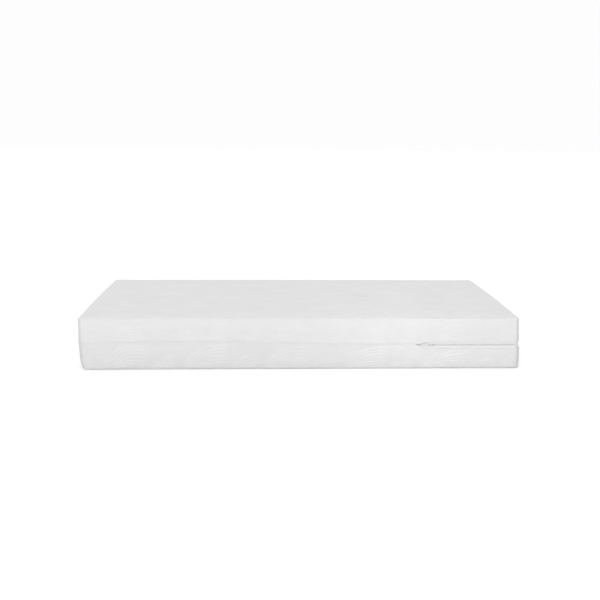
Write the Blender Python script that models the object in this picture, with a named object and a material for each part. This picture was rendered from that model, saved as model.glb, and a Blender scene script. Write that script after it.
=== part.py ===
"""Single-size memory foam mattress: three bonded foam layers in a stretch liner, inside a
jacquard knit cover whose two halves meet at a waist line, part sewn and part zipped."""

import math

import bmesh
import bpy

# Overall size, in metres. Length runs along X, width along Y, and the front side is at -Y.
LENGTH = 2.000
WIDTH = 0.900
HEIGHT = 0.230
CORNER_RADIUS = 0.028
EDGE_RADIUS = 0.012
GAP = 0.0003

# Cover: its rims turn inward where the halves meet, about halfway up.
WAIST = 0.1130
COVER = 0.0030
RIM_ROLL = 0.0030
RIM_RISE = 0.0120
SEAM_HALF_GAP = 0.00015

# The zip runs from here on the front side, round the right end, to here on the back side.
ZIP_START = 0.540
MOUTH_LENGTH = 0.070
ZIP_HALF_GAP = 0.0150

# Depths below the cover's outer face at the waist, from the outside in.
PLATE_DEPTH = 0.0032
COIL_DEPTH = 0.0043
TAPE_DEPTH = 0.0063
INNER_PLATE_DEPTH = 0.0073
VALLEY_LINER_DEPTH = 0.0086
SEAM_TAPE_DEPTH = COVER + GAP
SEAM_TAPE = 0.0009
LINER_DEPTH = 0.0045
LINER = 0.0010
FOAM_DEPTH = LINER_DEPTH + LINER + GAP
VALLEY_FOAM_DEPTH = VALLEY_LINER_DEPTH + LINER + GAP
VALLEY_FLAT = 0.020
VALLEY_END = 0.045

# Depths below the top face and above the bottom face.
LINER_TOP_DEPTH = COVER + GAP
FOAM_TOP_DEPTH = LINER_TOP_DEPTH + LINER + GAP

# Foam layers, by the height of each joint between them.
LOWER_JOINT = 0.1400
UPPER_JOINT = 0.1750
GLUE = 0.0003

# Zip parts.
TAPE = 0.0007
TAPE_WIDTH = 0.0180
COIL = 0.0017
COIL_HEIGHT = 0.0022
SLOT_HALF = 0.0005
STOP_X = 0.5845
SLIDER_X = 0.6000
SLIDER_HALF = 0.0060
SLIDER_HALF_WIDTH = 0.0039
PLATE = 0.0008
BAR_DEPTH = 0.00235
BAR = 0.0010
TAB_LENGTH = 0.0240
TAB_HALF_WIDTH = 0.0025

# Slot in the liner's right end wall, closed by a seam outside it.
LINER_SLOT_Z = 0.1500
LINER_SLOT = 0.0015

CORNER_STEPS = 6
ARC_STEPS = 5

HALF_LENGTH = LENGTH / 2
HALF_WIDTH = WIDTH / 2


def clear_scene():
    for item in list(bpy.data.objects):
        bpy.data.objects.remove(item, do_unlink=True)


def material(name, colour, roughness, metallic=0.0, sheen=0.0):
    made = bpy.data.materials.new(name)
    made.use_nodes = True
    shader = made.node_tree.nodes["Principled BSDF"]
    shader.inputs["Base Color"].default_value = (*colour, 1.0)
    shader.inputs["Roughness"].default_value = roughness
    shader.inputs["Metallic"].default_value = metallic
    shader.inputs["Sheen Weight"].default_value = sheen
    made.diffuse_color = (*colour, 1.0)
    return made


def add_object(name, points, faces, surface, origin=(0.0, 0.0, 0.0)):
    shape = bpy.data.meshes.new(name)
    shape.from_pydata([tuple(p) for p in points], [], faces)
    work = bmesh.new()
    work.from_mesh(shape)
    bmesh.ops.recalc_face_normals(work, faces=work.faces)
    work.to_mesh(shape)
    work.free()
    shape.materials.append(surface)
    thing = bpy.data.objects.new(name, shape)
    thing.location = origin
    bpy.context.scene.collection.objects.link(thing)
    return thing


def corner(side_x, side_y):
    """Points round one plan corner, anticlockwise from above: x, y, normal x, normal y."""
    start = {(1, -1): -90, (1, 1): 0, (-1, 1): 90, (-1, -1): 180}[side_x, side_y]
    centre_x = side_x * (HALF_LENGTH - CORNER_RADIUS)
    centre_y = side_y * (HALF_WIDTH - CORNER_RADIUS)
    points = []
    for step in range(CORNER_STEPS + 1):
        angle = math.radians(start + 90 * step / CORNER_STEPS)
        nx, ny = math.cos(angle), math.sin(angle)
        points.append((centre_x + CORNER_RADIUS * nx, centre_y + CORNER_RADIUS * ny, nx, ny))
    return points


def side_point(x, side_y):
    return (x, side_y * HALF_WIDTH, 0.0, float(side_y))


def outline():
    """The plan's whole outline, with extra stations where the zip mouth widens."""
    stations = [ZIP_START + MOUTH_LENGTH * step / 8 for step in range(9)]
    front = [side_point(x, -1) for x in stations]
    back = [side_point(x, 1) for x in reversed(stations)]
    return front + corner(1, -1) + corner(1, 1) + back + corner(-1, 1) + corner(-1, -1)


def zip_path(start):
    return [side_point(start, -1)] + corner(1, -1) + corner(1, 1) + [side_point(start, 1)]


def seam_path(end):
    return [side_point(end, 1)] + corner(-1, 1) + corner(-1, -1) + [side_point(end, -1)]


def inset(point, depth, z):
    x, y, nx, ny = point
    return (x - nx * depth, y - ny * depth, z)


def half_opening(x):
    """Half the distance between the cover's two rims at this place along the length."""
    t = min(max((x - ZIP_START) / MOUTH_LENGTH, 0.0), 1.0)
    return SEAM_HALF_GAP + (ZIP_HALF_GAP - SEAM_HALF_GAP) * t * t * (3 - 2 * t)


def cover_rings(path, extra, waist):
    """Rings of an upper cover half from rim to top; extra is 0 outside, COVER inside."""
    rings = []
    for step in range(4):
        t = step / 3
        depth = extra + RIM_ROLL * (1 - t) ** 2
        rings.append([inset(p, depth, waist + half_opening(p[0]) + RIM_RISE * t) for p in path])
    for step in range(ARC_STEPS + 1):
        angle = math.radians(90 * step / ARC_STEPS)
        radius = EDGE_RADIUS - extra
        depth = EDGE_RADIUS - radius * math.cos(angle)
        z = HEIGHT - EDGE_RADIUS + radius * math.sin(angle)
        rings.append([inset(p, depth, z) for p in path])
    return rings


def band(faces, first, second, count, skip=()):
    """Quads between two rings, given by the index of each ring's first point."""
    for i in range(count):
        if i in skip:
            continue
        j = (i + 1) % count
        faces.append((first + i, first + j, second + j, second + i))


def cover_half(name, upper, surface):
    path = outline()
    count = len(path)
    waist = WAIST if upper else HEIGHT - WAIST
    outer = cover_rings(path, 0.0, waist)
    inner = cover_rings(path, COVER, waist)
    rings = outer + inner
    points = [p for ring in rings for p in ring]
    if not upper:
        points = [(x, y, HEIGHT - z) for x, y, z in points]
    faces = []
    levels = len(outer)
    for level in range(levels - 1):
        band(faces, level * count, (level + 1) * count, count)
        band(faces, (levels + level) * count, (levels + level + 1) * count, count)
    band(faces, 0, levels * count, count)
    faces.append(tuple((levels - 1) * count + i for i in range(count)))
    faces.append(tuple((2 * levels - 1) * count + i for i in range(count)))
    return add_object(name, points, faces, surface)


def strip(name, path, depth, thickness, low, high, surface):
    """A closed strip that follows the path, between two depths and two heights."""
    points = []
    for p in path:
        for d, z in ((depth, low), (depth + thickness, low), (depth + thickness, high), (depth, high)):
            points.append(inset(p, d, z))
    faces = []
    for step in range(len(path) - 1):
        first = step * 4
        for k in range(4):
            m = (k + 1) % 4
            faces.append((first + k, first + m, first + 4 + m, first + 4 + k))
    last = (len(path) - 1) * 4
    faces.append((0, 1, 2, 3))
    faces.append((last, last + 1, last + 2, last + 3))
    return add_object(name, points, faces, surface)


def side_depth(z, base, valley, cap):
    """Depth of an inner layer below the outer face at height z."""
    near = min(z, HEIGHT - z)
    if near < EDGE_RADIUS:
        part = min((EDGE_RADIUS - near) / (EDGE_RADIUS - cap), 1.0)
        return EDGE_RADIUS - (EDGE_RADIUS - base) * math.sqrt(1 - part * part)
    off = abs(z - WAIST)
    t = min(max((off - VALLEY_FLAT) / (VALLEY_END - VALLEY_FLAT), 0.0), 1.0)
    return valley + (base - valley) * t


def layer_heights(low, high, cap, extra=()):
    """Heights at which a layer's side changes direction, from low to high."""
    found = [low, high]
    arc = [cap + (EDGE_RADIUS - cap) * (1 - math.sin(math.radians(90 * k / ARC_STEPS)))
           for k in range(ARC_STEPS + 1)]
    bends = [WAIST - VALLEY_END, WAIST - VALLEY_FLAT, WAIST + VALLEY_FLAT, WAIST + VALLEY_END]
    for z in arc + [HEIGHT - z for z in arc] + bends + list(extra):
        if low + 1e-5 < z < high - 1e-5:
            found.append(z)
    return sorted(found)


def foam_block(name, low, high, surface):
    path = outline()
    count = len(path)
    points, faces = [], []
    heights = layer_heights(low, high, FOAM_TOP_DEPTH)
    for z in heights:
        depth = side_depth(z, FOAM_DEPTH, VALLEY_FOAM_DEPTH, FOAM_TOP_DEPTH)
        points += [inset(p, depth, z) for p in path]
    for level in range(len(heights) - 1):
        band(faces, level * count, (level + 1) * count, count)
    faces.append(tuple(range(count)))
    faces.append(tuple((len(heights) - 1) * count + i for i in range(count)))
    return add_object(name, points, faces, surface)


def liner(name, surface):
    """A sock round all the foam, with one long slot in its right end wall."""
    path = outline()
    count = len(path)
    slot = (LINER_SLOT_Z, LINER_SLOT_Z + LINER_SLOT)
    shells = []
    for offset in (0.0, LINER):
        cap = LINER_TOP_DEPTH + offset
        heights = layer_heights(cap, HEIGHT - cap, cap, slot)
        rings = []
        for z in heights:
            depth = side_depth(z, LINER_DEPTH + offset, VALLEY_LINER_DEPTH + offset, cap)
            rings.append([inset(p, depth, z) for p in path])
        shells.append(rings)
    levels = len(shells[0])
    cell = 9 + CORNER_STEPS
    row = layer_heights(LINER_TOP_DEPTH, HEIGHT - LINER_TOP_DEPTH, LINER_TOP_DEPTH, slot).index(slot[0])
    points = [p for rings in shells for ring in rings for p in ring]
    faces = []
    for shell in range(2):
        base = shell * levels * count
        for level in range(levels - 1):
            skip = (cell,) if level == row else ()
            band(faces, base + level * count, base + (level + 1) * count, count, skip)
        faces.append(tuple(base + i for i in range(count)))
        faces.append(tuple(base + (levels - 1) * count + i for i in range(count)))
    edge = [row * count + cell, row * count + cell + 1]
    edge += [(row + 1) * count + cell + 1, (row + 1) * count + cell]
    for k in range(4):
        m = (k + 1) % 4
        faces.append((edge[k], edge[m], edge[m] + levels * count, edge[k] + levels * count))
    return add_object(name, points, faces, surface)


def corner_seam(name, side_x, side_y, upper, surface):
    """The taped seam inside one corner of a cover half."""
    arc = corner(side_x, side_y)
    middle = CORNER_STEPS // 2
    path = arc[middle - 1:middle + 2]
    low, high = 0.1450, HEIGHT - EDGE_RADIUS
    if not upper:
        low, high = HEIGHT - high, HEIGHT - low
    return strip(name, path, SEAM_TAPE_DEPTH, SEAM_TAPE, low, high, surface)


def prism(name, outline_xz, near, far, surface, origin):
    """A flat plate lying in the front face: outline in x and z about the origin, between two depths."""
    count = len(outline_xz)
    points = [(x, near - BAR_DEPTH, z) for x, z in outline_xz]
    points += [(x, far - BAR_DEPTH, z) for x, z in outline_xz]
    faces = [tuple(range(count)), tuple(range(count, 2 * count))]
    band(faces, 0, count, count)
    return add_object(name, points, faces, surface, origin)


def box_outline(x0, x1, z0, z1):
    return [(x0, z0), (x1, z0), (x1, z1), (x0, z1)]


def combine(target, tool, operation):
    tool.hide_render = True
    tool.display_type = "WIRE"
    step = target.modifiers.new(tool.name, "BOOLEAN")
    step.operation = operation
    step.solver = "EXACT"
    step.object = tool


def slider(surface, origin):
    nose, tail = SLIDER_HALF_WIDTH, SLIDER_HALF_WIDTH * 0.82
    plate = [(-SLIDER_HALF, -tail * 0.75), (-SLIDER_HALF * 0.7, -tail), (SLIDER_HALF * 0.5, -nose)]
    plate += [(SLIDER_HALF, -nose * 0.6), (SLIDER_HALF, nose * 0.6), (SLIDER_HALF * 0.5, nose)]
    plate += [(-SLIDER_HALF * 0.7, tail), (-SLIDER_HALF, tail * 0.75)]
    outer_back = PLATE_DEPTH + PLATE
    body = prism("zip_slider", plate, PLATE_DEPTH, outer_back, surface, origin)
    lap = 0.0002
    web = box_outline(-0.0010, 0.0030, -0.0002, 0.0002)
    tools = [prism("slider_web", web, outer_back - lap, INNER_PLATE_DEPTH + lap, surface, origin)]
    inner = [(x * 0.9, z * 0.72) for x, z in plate]
    tools.append(prism("slider_inner_plate", inner, INNER_PLATE_DEPTH,
                       INNER_PLATE_DEPTH + PLATE, surface, origin))
    for side in (-1, 1):
        z0, z1 = sorted((side * 0.0031, side * (SLIDER_HALF_WIDTH - 0.0001)))
        wall = box_outline(-0.0005, 0.0035, z0, z1)
        tools.append(prism("slider_flange", wall, outer_back - lap, 0.0057, surface, origin))
        x0, x1 = sorted((side * 0.0024, side * 0.0034))
        post = box_outline(x0, x1, -0.0008, 0.0008)
        tools.append(prism("slider_post", post, 0.0010, PLATE_DEPTH + lap, surface, origin))
    bridge = box_outline(-0.0033, 0.0033, -0.0007, 0.0007)
    tools.append(prism("slider_bridge", bridge, 0.0007, 0.0015, surface, origin))
    for tool in tools:
        combine(body, tool, "UNION")
    return body


def pull_tab(surface, origin):
    """A flat tab hanging from a round bar that passes under the slider's bridge."""
    arm = 0.0022
    shoulder = -0.0050
    end = -TAB_LENGTH
    shape = [(0.0, -arm), (0.0, arm), (shoulder + 0.0010, arm), (shoulder, TAB_HALF_WIDTH)]
    for step in range(9):
        angle = math.radians(90 + 180 * step / 8)
        shape.append((end + TAB_HALF_WIDTH + TAB_HALF_WIDTH * math.cos(angle),
                      TAB_HALF_WIDTH * math.sin(angle)))
    shape += [(shoulder, -TAB_HALF_WIDTH), (shoulder + 0.0010, -arm)]
    near, far = BAR_DEPTH - BAR / 2, BAR_DEPTH + BAR / 2
    body = prism("zip_pull_tab", shape, near + 0.00005, far - 0.00005, surface, origin)
    window = box_outline(shoulder, 0.0010, -0.0014, 0.0014)
    hole = box_outline(end + 0.0030, end + 0.0090, -0.0011, 0.0011)
    combine(body, prism("tab_window", window, near - 0.001, far + 0.001, surface, origin), "DIFFERENCE")
    combine(body, prism("tab_hole", hole, near - 0.001, far + 0.001, surface, origin), "DIFFERENCE")
    sides = 12
    points = []
    for z in (-arm, arm):
        for step in range(sides):
            angle = 2 * math.pi * step / sides
            points.append((BAR / 2 * math.cos(angle), BAR / 2 * math.sin(angle), z))
    faces = [tuple(range(sides)), tuple(range(sides, 2 * sides))]
    band(faces, 0, sides, sides)
    combine(body, add_object("tab_bar", points, faces, surface, origin), "UNION")
    return body


def build():
    knit = material("white jacquard knit", (0.80, 0.80, 0.80), 0.85, sheen=0.2)
    binding = material("white seam binding", (0.74, 0.74, 0.74), 0.85)
    tape = material("white woven zip tape", (0.72, 0.72, 0.72), 0.80)
    nylon = material("white nylon coil", (0.70, 0.70, 0.70), 0.45)
    metal = material("white enamelled zinc", (0.82, 0.82, 0.82), 0.35)
    stretch = material("unbleached stretch liner", (0.78, 0.76, 0.71), 0.90)
    memory = material("memory foam", (0.80, 0.77, 0.66), 0.95)
    transition = material("transition foam", (0.66, 0.74, 0.78), 0.95)
    support = material("support foam", (0.84, 0.83, 0.80), 0.95)
    glue = material("dried foam adhesive", (0.85, 0.83, 0.74), 0.60)
    label = material("plain satin label", (0.86, 0.86, 0.85), 0.55)

    cover_half("cover_top_half", True, knit)
    cover_half("cover_bottom_half", False, knit)
    strip("waist_seam_binding", seam_path(ZIP_START + 0.0045), TAPE_DEPTH, TAPE,
          WAIST - 0.006, WAIST + 0.006, binding)
    for level, upper in (("upper", True), ("lower", False)):
        for end, side_x in (("left", -1), ("right", 1)):
            for side, side_y in (("front", -1), ("back", 1)):
                corner_seam(f"corner_seam_{level}_{side}_{end}", side_x, side_y, upper, binding)

    for level, sign in (("upper", 1), ("lower", -1)):
        near, far = WAIST + sign * SLOT_HALF, WAIST + sign * (SLOT_HALF + TAPE_WIDTH)
        strip(f"zip_tape_{level}", zip_path(ZIP_START + 0.005), TAPE_DEPTH, TAPE,
              min(near, far), max(near, far), tape)
        far = WAIST + sign * (SLOT_HALF + COIL_HEIGHT)
        strip(f"zip_coil_{level}", zip_path(STOP_X + 0.003), COIL_DEPTH, COIL,
              min(near, far), max(near, far), nylon)
    for side, side_y in (("front", -1), ("back", 1)):
        ends = [side_point(STOP_X - 0.0025, side_y), side_point(STOP_X + 0.0025, side_y)]
        strip(f"zip_stop_{side}", ends, 0.0041, 0.0019, WAIST - 0.0032, WAIST + 0.0032, metal)

    origin = (SLIDER_X, BAR_DEPTH - HALF_WIDTH, WAIST)
    slider(metal, origin)
    pull_tab(metal, origin)

    liner("inner_liner", stretch)
    across = [(HALF_LENGTH, y, 1.0, 0.0) for y in (-0.413, 0.413)]
    strip("liner_closing_seam", across, SEAM_TAPE_DEPTH, SEAM_TAPE,
          LINER_SLOT_Z - 0.003, LINER_SLOT_Z + LINER_SLOT + 0.003, binding)

    foam_block("support_foam_core", FOAM_TOP_DEPTH, LOWER_JOINT, support)
    low = LOWER_JOINT + GAP
    foam_block("adhesive_film_lower", low, low + GLUE, glue)
    foam_block("transition_foam_layer", low + GLUE + GAP, UPPER_JOINT, transition)
    low = UPPER_JOINT + GAP
    foam_block("adhesive_film_upper", low, low + GLUE, glue)
    foam_block("memory_foam_layer", low + GLUE + GAP, HEIGHT - FOAM_TOP_DEPTH, memory)

    place = [side_point(0.460, 1), side_point(0.400, 1)]
    strip("care_label", place, 0.0074, 0.0005, WAIST - 0.018, WAIST + 0.004, label)


clear_scene()
build()
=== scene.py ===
"""Single-size memory foam mattress: a white ribbed knit cover in two halves, joined by a seam
and a zip, over a stretch liner and three bonded layers of foam. Lengths are in metres."""

from math import cos, exp, pi, radians, sin, sqrt

import bmesh
import bpy
import numpy as np
from mathutils import Matrix, Vector
from mathutils.bvhtree import BVHTree


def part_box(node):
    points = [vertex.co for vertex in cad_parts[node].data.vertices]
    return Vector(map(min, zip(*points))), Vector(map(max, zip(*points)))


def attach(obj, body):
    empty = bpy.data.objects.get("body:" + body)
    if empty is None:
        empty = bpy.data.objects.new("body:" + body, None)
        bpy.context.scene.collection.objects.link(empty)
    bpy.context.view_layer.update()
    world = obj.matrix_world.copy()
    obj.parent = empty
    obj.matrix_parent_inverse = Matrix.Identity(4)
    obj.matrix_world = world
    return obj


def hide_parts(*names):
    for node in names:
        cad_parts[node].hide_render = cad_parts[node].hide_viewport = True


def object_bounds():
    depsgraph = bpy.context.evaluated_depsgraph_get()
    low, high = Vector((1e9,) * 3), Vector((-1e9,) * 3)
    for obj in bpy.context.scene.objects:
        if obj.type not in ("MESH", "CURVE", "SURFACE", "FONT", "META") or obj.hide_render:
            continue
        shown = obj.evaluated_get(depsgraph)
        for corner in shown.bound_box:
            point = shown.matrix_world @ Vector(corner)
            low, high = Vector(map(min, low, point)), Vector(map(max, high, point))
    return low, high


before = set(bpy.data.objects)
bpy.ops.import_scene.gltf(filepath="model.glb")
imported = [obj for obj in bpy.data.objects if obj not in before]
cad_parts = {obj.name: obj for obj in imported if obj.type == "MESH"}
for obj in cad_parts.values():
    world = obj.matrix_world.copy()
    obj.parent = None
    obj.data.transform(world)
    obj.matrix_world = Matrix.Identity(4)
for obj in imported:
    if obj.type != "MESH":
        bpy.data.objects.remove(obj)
CAD_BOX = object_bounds()

# Main sizes, read from the CAD nodes.
HALF_X = CAD_BOX[1].x
HALF_Y = CAD_BOX[1].y
TOP = CAD_BOX[1].z
BINDING_LOW, BINDING_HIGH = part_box("waist_seam_binding")
WAIST = (BINDING_LOW.z + BINDING_HIGH.z) / 2

# Zip, tapes, liner and foam, as in the CAD source.
CORNER = 0.028
EDGE = 0.012
GAP = 0.0003
ZIP_HALF_GAP = 0.015
TAPE_DEPTH = 0.0063
TAPE = 0.0007
STOP_X = 0.5845
SEAM_TAPE_DEPTH = 0.0033
SEAM_TAPE = 0.0009
LINER_DEPTH = 0.0045
LINER_TOP_DEPTH = 0.0033
LINER = 0.001
VALLEY_DEPTH = 0.0086
VALLEY_FLAT = 0.02
VALLEY_END = 0.045
SLOT_Z = 0.15
SLOT_HEIGHT = 0.0015
LOWER_JOINT = 0.14
UPPER_JOINT = 0.175

# The soft cover: sharper at its corners and edges than the CAD's, and its lips part a little sooner.
ZIP_START = 0.528
COVER_CORNER = 0.024
COVER_EDGE = 0.0055
RIM_RISE = 0.01
RIM_GAP = 0.00004
CAGE_PITCH = 0.036
CAGE_ARC = 2
SWELL_FRAMES = 20
SWELL_CAP = 0.0045
SWELL_SETTINGS = {"vertex_group_mass": "held", "quality": 5, "mass": 0.4, "tension_stiffness": 60,
                  "compression_stiffness": 20, "shear_stiffness": 20, "bending_stiffness": 6,
                  "use_pressure": True, "uniform_pressure_force": 2.5}
FLOOR_CLEARANCE = 0.0003

# Arched ribs knitted into the border: spacing of the fans along it and of the ribs within a fan.
FAN_PERIOD = 0.3645
FAN_CROWN = -0.371
RIB_PITCH = 0.0142
RIB_HEIGHT = 0.0026
UPPER_RIB_SHARE = 0.4

# Zip coils and the rows of stitches along the rims.
COIL_DEPTH = 0.00488
COIL_OFFSET = 0.00165
COIL_PITCH = 0.00135
STITCH_PITCH = 0.0048
STITCH_LENGTH = 0.0036
STITCH_RADIUS = 0.00042
STITCH_RISE = 0.0062

# Distances from the waist line at which a zip tape's section is set out.
TAPE_STATIONS = (0.0005, 0.0018, 0.003, 0.0041, 0.0046, 0.0052, 0.0062, 0.0076, 0.0095,
                 0.0115, 0.0135, 0.016, 0.019)

# Steps in half a corner of the foam and liner, and in their rounded edges.
FOAM_ARC = 3
EDGE_STEPS = 5


# ---- small helpers

def unit(t):
    return np.clip(t, 0, 1)


def smooth(t):
    t = unit(t)
    return t * t * (3 - 2 * t)


def ripple(x, y, scale, seed):
    """Smooth irregular field from about -1 to 1: a few sine waves at fixed odd angles."""
    total = 0.0
    for k in range(5):
        angle = seed * 1.7 + k * 2.399
        pitch = scale * (0.7 + 0.35 * k)
        across = x * cos(angle) + y * sin(angle)
        total = total + np.sin(2 * pi * across / pitch + seed * 3.1 + k * 1.9)
    return total / 3.2


def mesh_object(name, points, faces, smooth_shade=True):
    shape = bpy.data.meshes.new(name)
    shape.from_pydata([tuple(map(float, p)) for p in points], [], faces)
    shape.validate()
    shape.polygons.foreach_set("use_smooth", [smooth_shade] * len(shape.polygons))
    thing = bpy.data.objects.new(name, shape)
    bpy.context.scene.collection.objects.link(thing)
    return thing


def read_vectors(shape, what="co"):
    flat = np.empty(len(shape.vertices) * 3, np.float32)
    shape.vertices.foreach_get(what, flat)
    return flat.reshape(-1, 3).astype(float)


def set_points(shape, points):
    shape.vertices.foreach_set("co", np.asarray(points, np.float32).ravel())
    shape.update()


def replace_mesh(thing, shape):
    old = thing.data
    thing.data = shape
    bpy.data.meshes.remove(old)


def apply_modifiers(thing):
    graph = bpy.context.evaluated_depsgraph_get()
    done = bpy.data.meshes.new_from_object(thing.evaluated_get(graph))
    thing.modifiers.clear()
    replace_mesh(thing, done)
    done.name = thing.name


# ---- the whole mattress's shape

def warp(points):
    """How the soft mattress departs from a true box. Every piece inside follows it too."""
    p = np.array(points, float)
    x, y, z = p[:, 0].copy(), p[:, 1].copy(), p[:, 2].copy()
    across = 1 - unit(np.abs(y) / HALF_Y) ** 2
    right = smooth((x - 0.7) / 0.3)
    left = smooth((-x - 0.7) / 0.3)
    p[:, 0] += 0.008 * right * across - 0.005 * left * across
    # The left end leans out towards the top; its lower edge is well rounded.
    p[:, 0] -= 0.0065 * left * smooth((z + 0.01) / 0.16)
    near = unit(1 - (x + HALF_X) / 0.05) ** 2 * unit(1 - z / 0.05) ** 2
    p[:, 0] += 0.0085 * near
    p[:, 2] += 0.0085 * near
    # The lower border stands a little proud at the right end, with its bottom edge lifting.
    low = unit(1 - z / 0.1)
    end = smooth((x - 0.93) / 0.07)
    p[:, 0] += (0.003 + 0.003 * smooth(low * 2)) * end * (z < WAIST)
    p[:, 0] -= 0.0025 * end * smooth((z - 0.15) / 0.07)
    p[:, 2] += 0.003 * smooth((x - 0.86) / 0.14) * low ** 2
    # The seam climbs a little towards the left end.
    lift = 0.006 * smooth((0.555 - x) / 0.06) + 0.014 * smooth((0.35 - x) / 0.8)
    lift -= 0.003 * smooth((-0.5 - x) / 0.4)
    p[:, 2] += lift * unit(1 - np.abs(z - WAIST) / 0.085)
    # Foam and knit swell above the zip and seam; a slight crown on top falls away at the right end.
    p[:, 2] += 0.0085 * smooth((z - WAIST - 0.012) / (TOP - WAIST))
    crown = (1 - unit(np.abs(x) / HALF_X) ** 4) * across
    high = smooth((z - 0.15) / 0.08)
    p[:, 2] += 0.0022 * crown * high - 0.001 * high * smooth((x - 0.8) / 0.2) ** 2
    # The long sides curve in below the seam and bulge a little above it.
    side = np.sign(y) * smooth((np.abs(y) - 0.3) / 0.15)
    ends = 1 - unit(np.abs(x) / HALF_X) ** 8
    p[:, 1] -= side * 0.0065 * unit(1 - z / 0.11) ** 2 * ends
    belly = np.sin(pi * unit(z / WAIST))
    p[:, 1] += side * 0.0022 * belly * smooth((x - 0.35) / 0.25) * ends
    bow = np.sin(pi * unit((TOP - z) / (TOP - WAIST)) ** 0.7)
    full = 0.002 + 0.003 * np.exp(-((x - 0.46) / 0.24) ** 2)
    p[:, 1] += side * full * bow * ends
    return p


def steps(low, high, pitch, dense=()):
    """Stations from low to high, closer together within each dense (from, to, pitch) stretch."""
    fine = np.linspace(low, high, 4001)
    density = np.full(fine.shape, 1.0 / pitch)
    for start, end, close in dense:
        inside = (fine >= start) & (fine <= end)
        density[inside] = np.maximum(density[inside], 1.0 / close)
    total = np.concatenate([[0.0], np.cumsum((density[1:] + density[:-1]) / 2 * np.diff(fine))])
    count = max(int(round(total[-1])), 1)
    return np.interp(np.linspace(0, total[-1], count + 1), total, fine)


def plan_ring(xs, ys, arc, radius=CORNER):
    """Outline from the middle of the front left corner, anticlockwise: points and normals, and
    how many cells a face inside it has each way."""
    cx, cy = HALF_X - radius, HALF_Y - radius
    points, normals = [], []

    def turn(centre, start, first):
        for k in range(first, arc):
            angle = radians(start + 45 * k / arc)
            n = np.array([cos(angle), sin(angle)])
            points.append(np.array(centre) + radius * n)
            normals.append(n)

    def side(first, second, start, straight, normal):
        turn(first, start, 0)
        for point in straight:
            points.append(np.array(point))
            normals.append(np.array(normal, float))
        turn(second, start + 45, 1)

    side((-cx, -cy), (cx, -cy), 225, [(x, -HALF_Y) for x in xs], (0, -1))
    side((cx, -cy), (cx, cy), 315, [(HALF_X, y) for y in ys], (1, 0))
    side((cx, cy), (-cx, cy), 45, [(x, HALF_Y) for x in xs[::-1]], (0, 1))
    side((-cx, cy), (-cx, -cy), 135, [(-HALF_X, y) for y in ys[::-1]], (-1, 0))
    return np.array(points), np.array(normals), len(xs) - 1 + 2 * arc, len(ys) - 1 + 2 * arc


def rim_index(first, nx, ny):
    """Vertex numbers of a flat face's grid, its rim taken from the ring that starts at first."""
    index = np.zeros((nx + 1, ny + 1), int)
    for i in range(nx + 1):
        index[i, 0] = first + i
        index[i, ny] = first + 2 * nx + ny - i
    for j in range(ny + 1):
        index[nx, j] = first + nx + j
        index[0, j] = first + (2 * nx + 2 * ny - j) % (2 * nx + 2 * ny)
    return index


def grid_faces(index, flip):
    faces = []
    for i in range(index.shape[0] - 1):
        for j in range(index.shape[1] - 1):
            quad = (index[i, j], index[i + 1, j], index[i + 1, j + 1], index[i, j + 1])
            quad = tuple(int(k) for k in quad)
            faces.append(quad[::-1] if flip else quad)
    return faces


def ring_faces(first, count, levels, flip=False, is_open=None):
    """Quads from each ring of count points to the next, but for the cells that is_open names."""
    faces = []
    for level in range(levels - 1):
        a, b = first + level * count, first + (level + 1) * count
        for i in range(count):
            if is_open and is_open(level, i):
                continue
            j = (i + 1) % count
            quad = (a + i, a + j, b + j, b + i)
            faces.append(quad[::-1] if flip else quad)
    return faces


def flat_cap(points, ring, first, nx, ny, flip):
    """Adds the inner points of a flat face within a ring to points, and gives its quads."""
    index = rim_index(first, nx, ny)
    for i in range(1, nx):
        for j in range(1, ny):
            index[i, j] = len(points)
            left, right = ring[index[0, j] - first], ring[index[nx, j] - first]
            front, back = ring[i], ring[2 * nx + ny - i]
            middle = ((front[0] + back[0]) / 2, (left[1] + right[1]) / 2, ring[0, 2])
            points.append(np.array(middle))
    return grid_faces(index, flip)


def half_opening(x, upper=True):
    """How far the rim stands from the waist line: the upper lip opens faster than the lower."""
    if upper:
        part = 1 - (1 - unit((x - ZIP_START + 0.004) / 0.052)) ** 1.8
    else:
        part = smooth((x - ZIP_START + 0.012) / 0.06)
    return RIM_GAP + (ZIP_HALF_GAP - RIM_GAP) * part


def lip_profile(x, upper):
    """The turned-in rim at x, as (depth, rise) pairs from the tucked edge out to the border."""
    tucked = ((0.0058, 0.0066), (0.0057, 0.003), (0.004, 0.0003))
    turned = ((0.0017, 0.008), (0.0016, 0.0036), (0.0014, 0.0008))
    if upper:
        sewn = ((0.0007, 0.0), (0.0, 0.0001), (0.0, 0.0016), (0.0, 0.01))
        zipped = ((0.0009, -0.0001), (0.0002, 0.0002), (-0.0003, 0.0016), (0.0, 0.009))
    else:
        sewn = ((0.0006, 0.0), (-0.0003, 0.0001), (-0.0008, 0.0016), (-0.0003, 0.01))
        zipped = ((0.0007, -0.0001), (-0.0006, 0.0004), (-0.0015, 0.0026), (-0.0008, 0.0095))
    proud = ((0.005, 0.008), (0.004, 0.003), (0.0012, -0.0006), (-0.001, -0.0006),
             (-0.002, 0.0002), (-0.0026, 0.003), (-0.001, 0.011))
    part = float(smooth((x - ZIP_START) / 0.05))
    # The upper lip lifts in a small fold over the mouth of the zip.
    lift = exp(-((x - 0.554) / 0.02) ** 2) if upper else 0.0
    mixed = np.array(tucked + sewn) * (1 - part) + np.array(turned + zipped) * part
    return mixed * (1 - lift) + np.array(proud) * lift


# ---- the cover halves

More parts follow.
